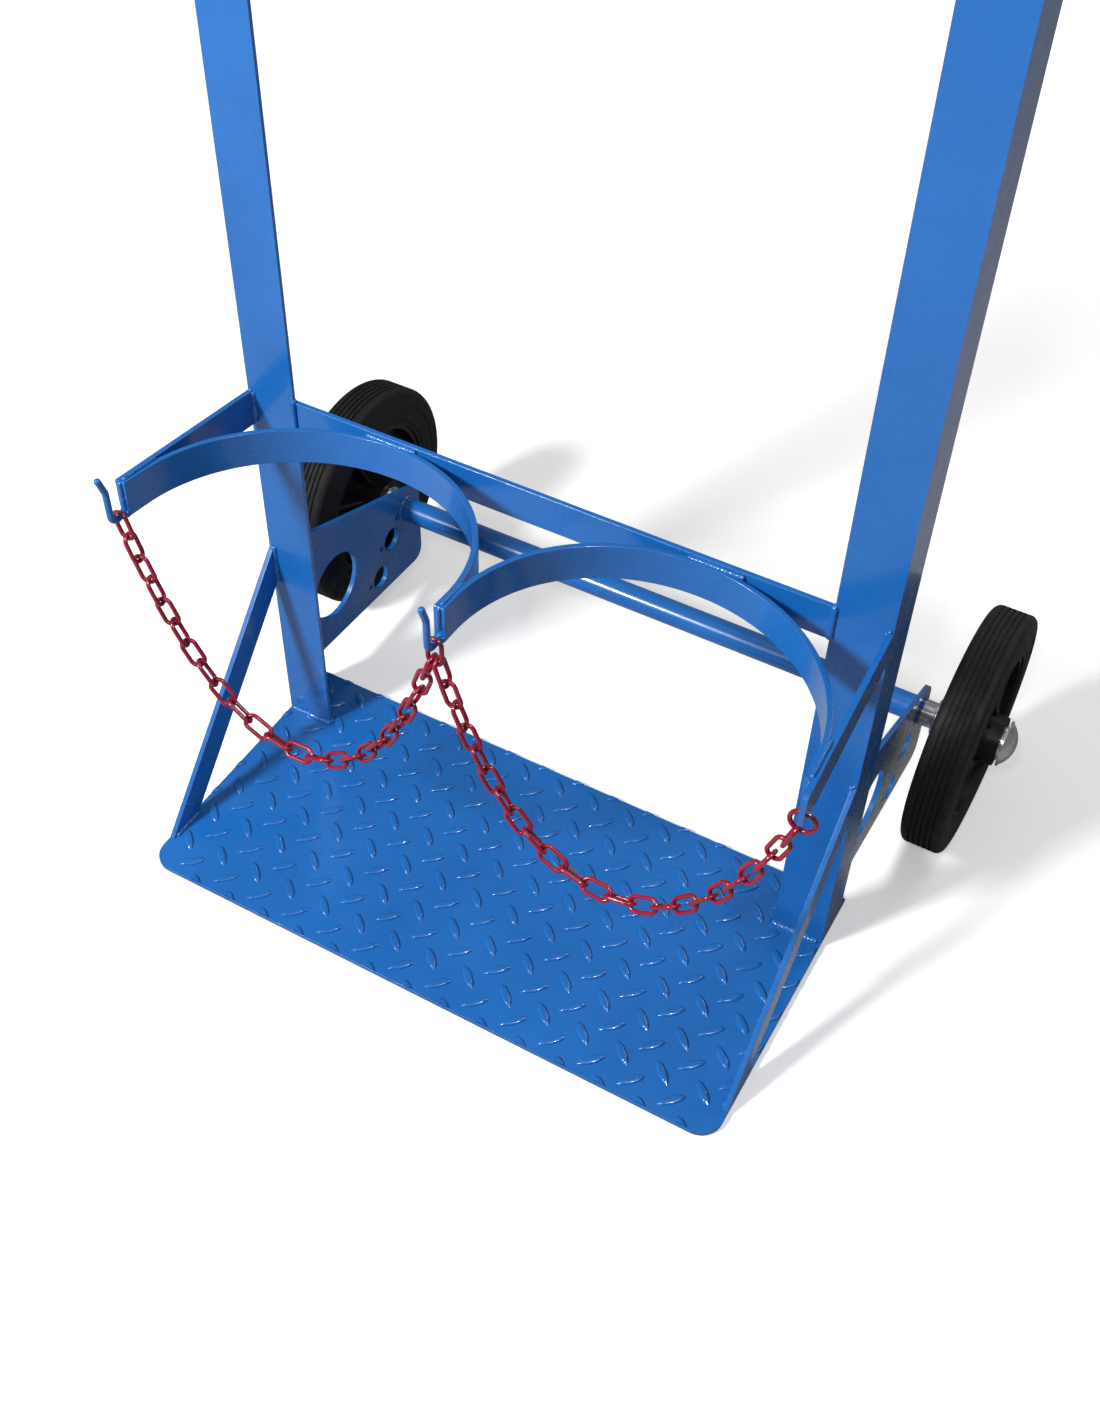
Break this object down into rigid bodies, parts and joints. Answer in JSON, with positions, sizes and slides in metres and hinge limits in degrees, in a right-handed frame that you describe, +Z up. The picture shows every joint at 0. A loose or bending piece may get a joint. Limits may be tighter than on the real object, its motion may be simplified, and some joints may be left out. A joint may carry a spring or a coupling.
{
  "type": "gas cylinder trolley",
  "caption": "Gas cylinder trolley with a tread-plate base, angle uprights, half-round bottle bows, a hook-on chain, bent tube handles and solid-tyred wheels on a through axle.",
  "frame": {"origin": "on the floor, in the middle of the outline seen from above", "axes": "+X to the right-hand side along the axle, +Y to the back where the wheels are, +Z up"},
  "size_m": [0.8058, 0.59, 1.1867],
  "materials": {
    "blue_paint": "bright blue gloss powder coat",
    "zinc": "bright zinc plate",
    "tyre_rubber": "matt black solid rubber",
    "black_plastic": "satin black moulded plastic",
    "red_chain": "glossy red coating",
    "grip_rubber": "matt black rubber"
  },
  "bodies": {
    "frame": {"axle": "zinc", "axle_cap_left": "zinc", "axle_cap_right": "zinc", "axle_tube": "blue_paint", "base_plate": "blue_paint", "bow_left": "blue_paint", "bow_right": "blue_paint", "brace_left": "blue_paint", "brace_right": "blue_paint", "grip_left": "grip_rubber", "grip_right": "grip_rubber", "handle_left": "blue_paint", "handle_right": "blue_paint", "hook_left": "blue_paint", "hook_middle": "blue_paint", "inner_washer_left": "zinc", "inner_washer_right": "zinc", "lower_cross_bar": "blue_paint", "outer_washer_left": "zinc", "outer_washer_right": "zinc", "side_flat_left": "blue_paint", "side_flat_right": "blue_paint", "spacer_left": "zinc", "spacer_right": "zinc", "upper_cross_bar": "blue_paint", "upright_left": "blue_paint", "upright_right": "blue_paint", "wheel_bracket_left": "blue_paint", "wheel_bracket_right": "blue_paint"},
    "wheel_left": {"tyre_left": "tyre_rubber", "rim_left": "black_plastic", "bush_left": "black_plastic"},
    "wheel_right": {"tyre_right": "tyre_rubber", "rim_right": "black_plastic", "bush_right": "black_plastic"},
    "chain_middle": {"chain_middle_link": "red_chain"},
    "chain_left": {"chain_left": "red_chain"},
    "chain_right": {"chain_right": "red_chain", "chain_end_ring": "red_chain"}
  },
  "joints": [
    {"name": "wheel_left_spin", "type": "hinge", "parent": "frame", "child": "wheel_left", "pos_m": [-0.3555, 0.17, 0.125], "axis": [1, 0, 0], "continuous": true},
    {"name": "wheel_right_spin", "type": "hinge", "parent": "frame", "child": "wheel_right", "pos_m": [0.3555, 0.17, 0.125], "axis": [1, 0, 0], "continuous": true},
    {"name": "chain_middle_swing", "type": "hinge", "parent": "frame", "child": "chain_middle", "pos_m": [0, -0.23298, 0.4143], "axis": [0.9983, 0, -0.0574], "range_deg": [-7, 4]},
    {"name": "chain_left_swing", "type": "hinge", "parent": "chain_middle", "child": "chain_left", "pos_m": [-0.00222, -0.23298, 0.3937], "axis": [0.9991, 0, -0.0428], "range_deg": [-18, 18]},
    {"name": "chain_right_swing", "type": "hinge", "parent": "chain_middle", "child": "chain_right", "pos_m": [0.00222, -0.23298, 0.3937], "axis": [1, 0, 0.0076], "range_deg": [-18, 18]}
  ]
}
